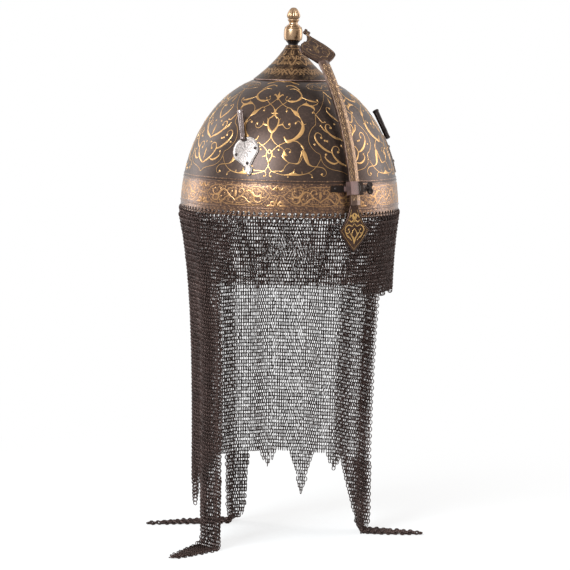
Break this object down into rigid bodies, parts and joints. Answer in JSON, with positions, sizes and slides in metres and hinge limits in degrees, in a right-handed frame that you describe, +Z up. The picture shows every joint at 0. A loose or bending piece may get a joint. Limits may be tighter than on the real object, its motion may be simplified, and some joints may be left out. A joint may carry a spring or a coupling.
{
  "type": "kulah khud helmet",
  "caption": "Domed steel helmet with a sliding nasal, tube sockets for plumes, a turned brass finial and a dagged curtain of mail round sides and back.",
  "frame": {"origin": "centre of the bowl's rim, in the plane of its lower edge, which is the head opening", "axes": "+Z up to the finial, -Y the way the face looks, +X the wearer's left"},
  "size_m": [0.2904, 0.2423, 0.5216],
  "materials": {
    "skull": "dark russet patina with gold inlay",
    "band_gilt": "etched and gilt, worn",
    "iron": "dark, worn",
    "bright_steel": "engraved, silvery",
    "brass": "polished",
    "mail": "oiled iron rings"
  },
  "bodies": {
    "helmet": {"skull_bowl": "skull", "apex_cone": "skull", "finial_collar": "iron", "finial": "brass", "crown_stud": "iron", "crown_nut": "iron", "plume_plate_right": "bright_steel", "plume_plate_left": "bright_steel", "plume_tube_right": "bright_steel", "plume_tube_left": "bright_steel", "plume_rivets_right": "iron", "plume_rivets_left": "iron", "nasal_bracket": "band_gilt", "bracket_rivets": "iron", "rim_links": "mail", "first_row_links": "mail", "mail_front_veil": "mail", "mail_right_side": "mail", "mail_left_side": "mail", "mail_nape": "mail", "mail_right_point": "mail", "mail_left_point": "mail", "mail_back_point": "mail"},
    "nasal": {"nasal_bar": "band_gilt", "nasal_upper_leaf": "skull", "nasal_lower_leaf": "skull"},
    "screw": {"clamp_screw": "iron"}
  },
  "joints": [
    {"name": "nasal_slide", "type": "hinge", "parent": "helmet", "child": "nasal", "pos_m": [0, 0.1246, -0.015], "axis": [1, 0, 0], "range_deg": [0, 26.5]},
    {"name": "clamp_screw_turn", "type": "hinge", "parent": "helmet", "child": "screw", "pos_m": [0, -0.11152, 0.028], "axis": [1, 0, 0], "range_deg": [0, 360]}
  ]
}
